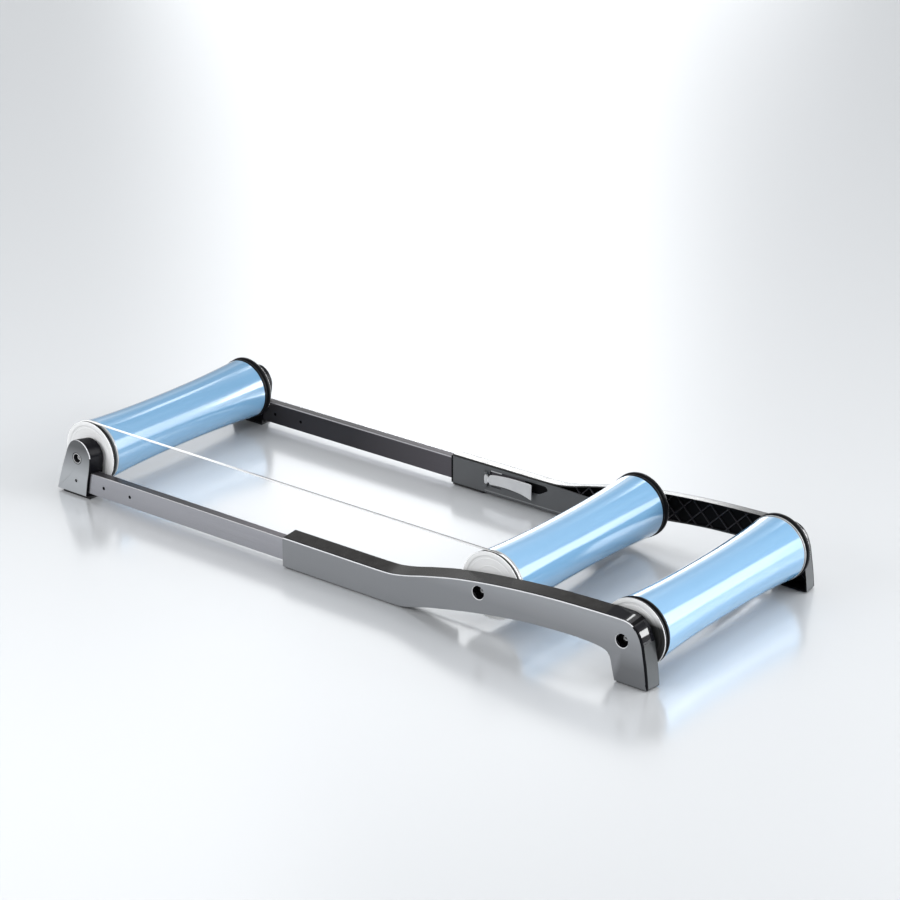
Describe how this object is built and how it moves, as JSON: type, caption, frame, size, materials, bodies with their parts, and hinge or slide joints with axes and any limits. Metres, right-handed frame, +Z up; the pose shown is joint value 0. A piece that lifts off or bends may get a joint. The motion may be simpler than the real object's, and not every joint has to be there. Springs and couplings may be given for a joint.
{
  "type": "bicycle training rollers",
  "caption": "Telescoping bicycle training rollers: hollow-waisted drums between arched side rails, with a telescoping front carriage, drive belt and release levers.",
  "frame": {"origin": "centre of the bounding box's base, on the floor, with the front carriage pulled out", "axes": "+X from the front roller to the rear leg, +Y from the belt side's rail (left) to the right rail, +Z up"},
  "size_m": [1.3608, 0.512, 0.1381],
  "materials": {
    "rail": "glossy dark grey moulding",
    "bracket": "glossy dark grey moulding",
    "guide": "satin dark grey moulding",
    "bar": "satin anodised violet grey",
    "drum": "glossy sky blue",
    "cap": "satin light grey",
    "foot": "black rubber",
    "steel": "plain steel",
    "lever": "satin light grey",
    "black_plastic": "black",
    "belt": "off-white elastic cord"
  },
  "bodies": {
    "frame": {"left_rail": "rail", "left_guide_plate": "guide", "left_lever_pin": "steel", "left_sleeve_foot": "foot", "left_rear_foot": "foot", "left_middle_axle_screw": "steel", "left_middle_spacer": "black_plastic", "left_rear_axle_screw": "steel", "left_rear_spacer": "black_plastic", "right_rail": "rail", "right_guide_plate": "guide", "right_lever_pin": "steel", "right_sleeve_foot": "foot", "right_rear_foot": "foot", "right_middle_axle_screw": "steel", "right_middle_spacer": "black_plastic", "right_rear_axle_screw": "steel", "right_rear_spacer": "black_plastic", "middle_axle": "steel", "rear_axle": "steel", "drive_belt": "belt"},
    "front_carriage": {"left_bar": "bar", "left_bar_glide": "black_plastic", "left_bracket": "bracket", "left_front_bush": "steel", "left_bracket_screw": "steel", "left_front_foot": "foot", "left_front_axle_screw": "steel", "left_front_spacer": "black_plastic", "right_bar": "bar", "right_bar_glide": "black_plastic", "right_bracket": "bracket", "right_front_bush": "steel", "right_bracket_screw": "steel", "right_front_foot": "foot", "right_front_axle_screw": "steel", "right_front_spacer": "black_plastic", "front_axle": "steel"},
    "front_roller": {"front_drum": "drum", "front_left_cap": "cap", "front_left_bearing": "steel", "front_right_cap": "cap", "front_right_bearing": "steel"},
    "middle_roller": {"middle_drum": "drum", "middle_left_cap": "cap", "middle_left_bearing": "steel", "middle_right_cap": "cap", "middle_right_bearing": "steel"},
    "rear_roller": {"rear_drum": "drum", "rear_left_cap": "cap", "rear_left_bearing": "steel", "rear_right_cap": "cap", "rear_right_bearing": "steel"},
    "left_release_lever": {"left_lever": "lever"},
    "right_release_lever": {"right_lever": "lever"}
  },
  "joints": [
    {"name": "front_slide", "type": "slide", "parent": "frame", "child": "front_carriage", "axis": [1, 0, 0], "range_m": [0, 0.46], "deforming": ["drive_belt"]},
    {"name": "front_roller_spin", "type": "hinge", "parent": "front_carriage", "child": "front_roller", "pos_m": [-0.619, 0, 0.077], "axis": [0, 1, 0], "continuous": true},
    {"name": "middle_roller_spin", "type": "hinge", "parent": "frame", "child": "middle_roller", "pos_m": [0.3265, 0, 0.077], "axis": [0, 1, 0], "continuous": true},
    {"name": "rear_roller_spin", "type": "hinge", "parent": "frame", "child": "rear_roller", "pos_m": [0.6197, 0, 0.077], "axis": [0, 1, 0], "continuous": true},
    {"name": "left_lever_hinge", "type": "hinge", "parent": "frame", "child": "left_release_lever", "pos_m": [-0.0255, -0.223, 0.0335], "axis": [0, 0, 1], "range_deg": [0, 35]},
    {"name": "right_lever_hinge", "type": "hinge", "parent": "frame", "child": "right_release_lever", "pos_m": [-0.0255, 0.223, 0.0335], "axis": [0, 0, -1], "range_deg": [0, 35]}
  ],
  "couplings": [
    {"joint": "front_roller_spin", "follows": "middle_roller_spin", "ratio": 1}
  ]
}
